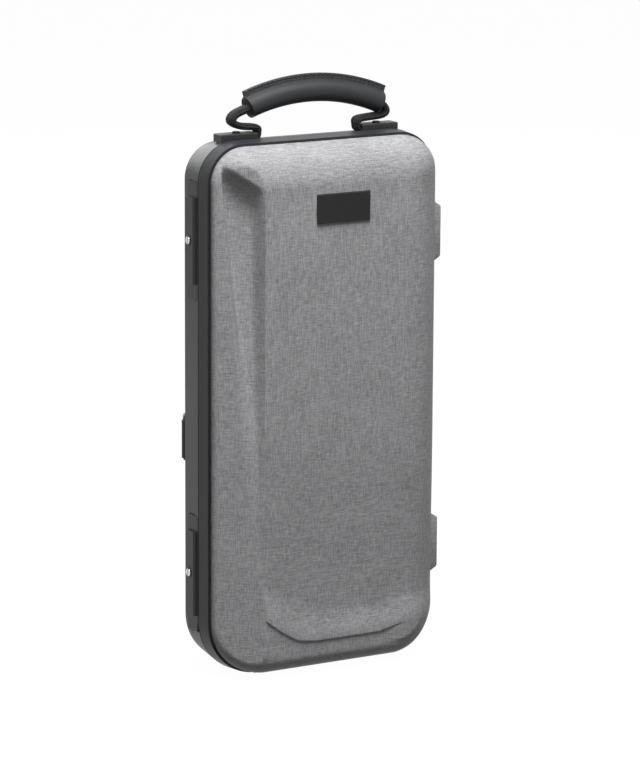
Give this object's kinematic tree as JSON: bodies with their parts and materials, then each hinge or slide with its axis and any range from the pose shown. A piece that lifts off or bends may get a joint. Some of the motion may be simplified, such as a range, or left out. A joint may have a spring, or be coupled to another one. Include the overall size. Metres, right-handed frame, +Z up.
{
  "type": "clarinet case",
  "caption": "Upright hard case with a hinged lid, over-centre latches, an arched carrying handle and padded wells for a woodwind instrument.",
  "frame": {"origin": "middle of the case's outline on the ground, under the standing feet", "axes": "+X towards the hinge side, +Y from the lid to the base's back, +Z up to the handle"},
  "size_m": [0.215, 0.0946, 0.4781],
  "materials": {
    "shell_silver": "silver grey moulded shell with a fine woven relief",
    "frame_black": "satin black moulded frame",
    "badge_black": "smooth black bare plate",
    "lining": "dark plush",
    "plush": "dark plush over foam",
    "rubber": "matt black",
    "dark_metal": "black coated steel",
    "latch_black": "satin black coating",
    "bracket_black": "satin black",
    "lock_metal": "bright nickel",
    "steel": "plain steel",
    "leather": "black grained wrap with two rows of stitches",
    "core": "black foam core",
    "webbing": "ribbed black webbing"
  },
  "bodies": {
    "base": {"base_frame": "frame_black", "base_shell": "shell_silver", "back_foot_1": "rubber", "back_foot_2": "rubber", "back_foot_3": "rubber", "back_foot_4": "rubber", "rim_seal": "rubber", "base_foot_left": "rubber", "base_foot_right": "rubber", "hinge_base_leaf_upper": "dark_metal", "hinge_pin_upper": "steel", "latch_plate_upper": "latch_black", "latch_pin_upper": "steel", "latch_tongue_upper": "steel", "hinge_base_leaf_lower": "dark_metal", "hinge_pin_lower": "steel", "latch_plate_lower": "latch_black", "latch_pin_lower": "steel", "latch_tongue_lower": "steel", "handle_bracket_left": "bracket_black", "bracket_screw_left": "steel", "strap_tab_left": "webbing", "strap_lug_left": "bracket_black", "handle_bracket_right": "bracket_black", "bracket_screw_right": "steel", "strap_tab_right": "webbing", "strap_lug_right": "bracket_black", "insert_side_left": "plush", "insert_side_right": "plush", "insert_end_top": "plush", "insert_end_bottom": "plush", "insert_floor": "plush", "divider_joints": "plush", "divider_bell": "plush", "divider_middle": "plush", "divider_tray": "plush", "divider_accessory": "plush", "divider_barrel": "plush", "cover_pin": "steel"},
    "lid": {"lid_frame": "frame_black", "lid_shell": "shell_silver", "badge_plate": "badge_black", "lid_lining": "lining", "lid_foot_left": "rubber", "lid_foot_right": "rubber", "hinge_lid_leaf_upper": "dark_metal", "hinge_lid_leaf_lower": "dark_metal", "latch_keeper_upper": "steel", "latch_keeper_lower": "steel"},
    "handle": {"handle_grip": "leather", "handle_core": "core", "handle_strap_left": "webbing", "handle_strap_right": "webbing"},
    "cover": {"accessory_cover": "plush"},
    "lever_upper": {"latch_lever_upper": "latch_black"},
    "lock_upper": {"latch_lock_upper": "lock_metal"},
    "lever_lower": {"latch_lever_lower": "latch_black"},
    "lock_lower": {"latch_lock_lower": "lock_metal"},
    "ring_left": {"strap_ring_left": "dark_metal"},
    "ring_right": {"strap_ring_right": "dark_metal"}
  },
  "joints": [
    {"name": "lid_hinge", "type": "hinge", "parent": "base", "child": "lid", "pos_m": [0.1054, -0.0047, 0.22], "axis": [0, 0, 1], "range_deg": [0, 110]},
    {"name": "lever_upper_pivot", "type": "hinge", "parent": "base", "child": "lever_upper", "pos_m": [-0.1035, 0.0009, 0.3525], "axis": [0, 0, 1], "range_deg": [0, 70]},
    {"name": "lock_upper_turn", "type": "hinge", "parent": "lever_upper", "child": "lock_upper", "pos_m": [-0.1075, 0.0075, 0.3525], "axis": [1, 0, 0], "range_deg": [0, 90]},
    {"name": "lever_lower_pivot", "type": "hinge", "parent": "base", "child": "lever_lower", "pos_m": [-0.1035, 0.0009, 0.084], "axis": [0, 0, 1], "range_deg": [0, 70]},
    {"name": "lock_lower_turn", "type": "hinge", "parent": "lever_lower", "child": "lock_lower", "pos_m": [-0.1075, 0.0075, 0.084], "axis": [1, 0, 0], "range_deg": [0, 90]},
    {"name": "handle_swing", "type": "hinge", "parent": "base", "child": "handle", "pos_m": [-0.0008, 0.0053, 0.436], "axis": [1, 0, 0], "range_deg": [-20, 20], "stiffness_Nm_per_rad": 0.15},
    {"name": "cover_hinge", "type": "hinge", "parent": "base", "child": "cover", "pos_m": [0.0392, -0.00085, 0.1155], "axis": [0, 0, -1], "range_deg": [0, 85]},
    {"name": "ring_left_swing", "type": "hinge", "parent": "base", "child": "ring_left", "pos_m": [-0.097, 0.0313, 0.1875], "axis": [0, 0, 1], "range_deg": [0, 160]},
    {"name": "ring_right_swing", "type": "hinge", "parent": "base", "child": "ring_right", "pos_m": [0.0954, 0.0313, 0.1875], "axis": [0, 0, -1], "range_deg": [0, 160]}
  ]
}
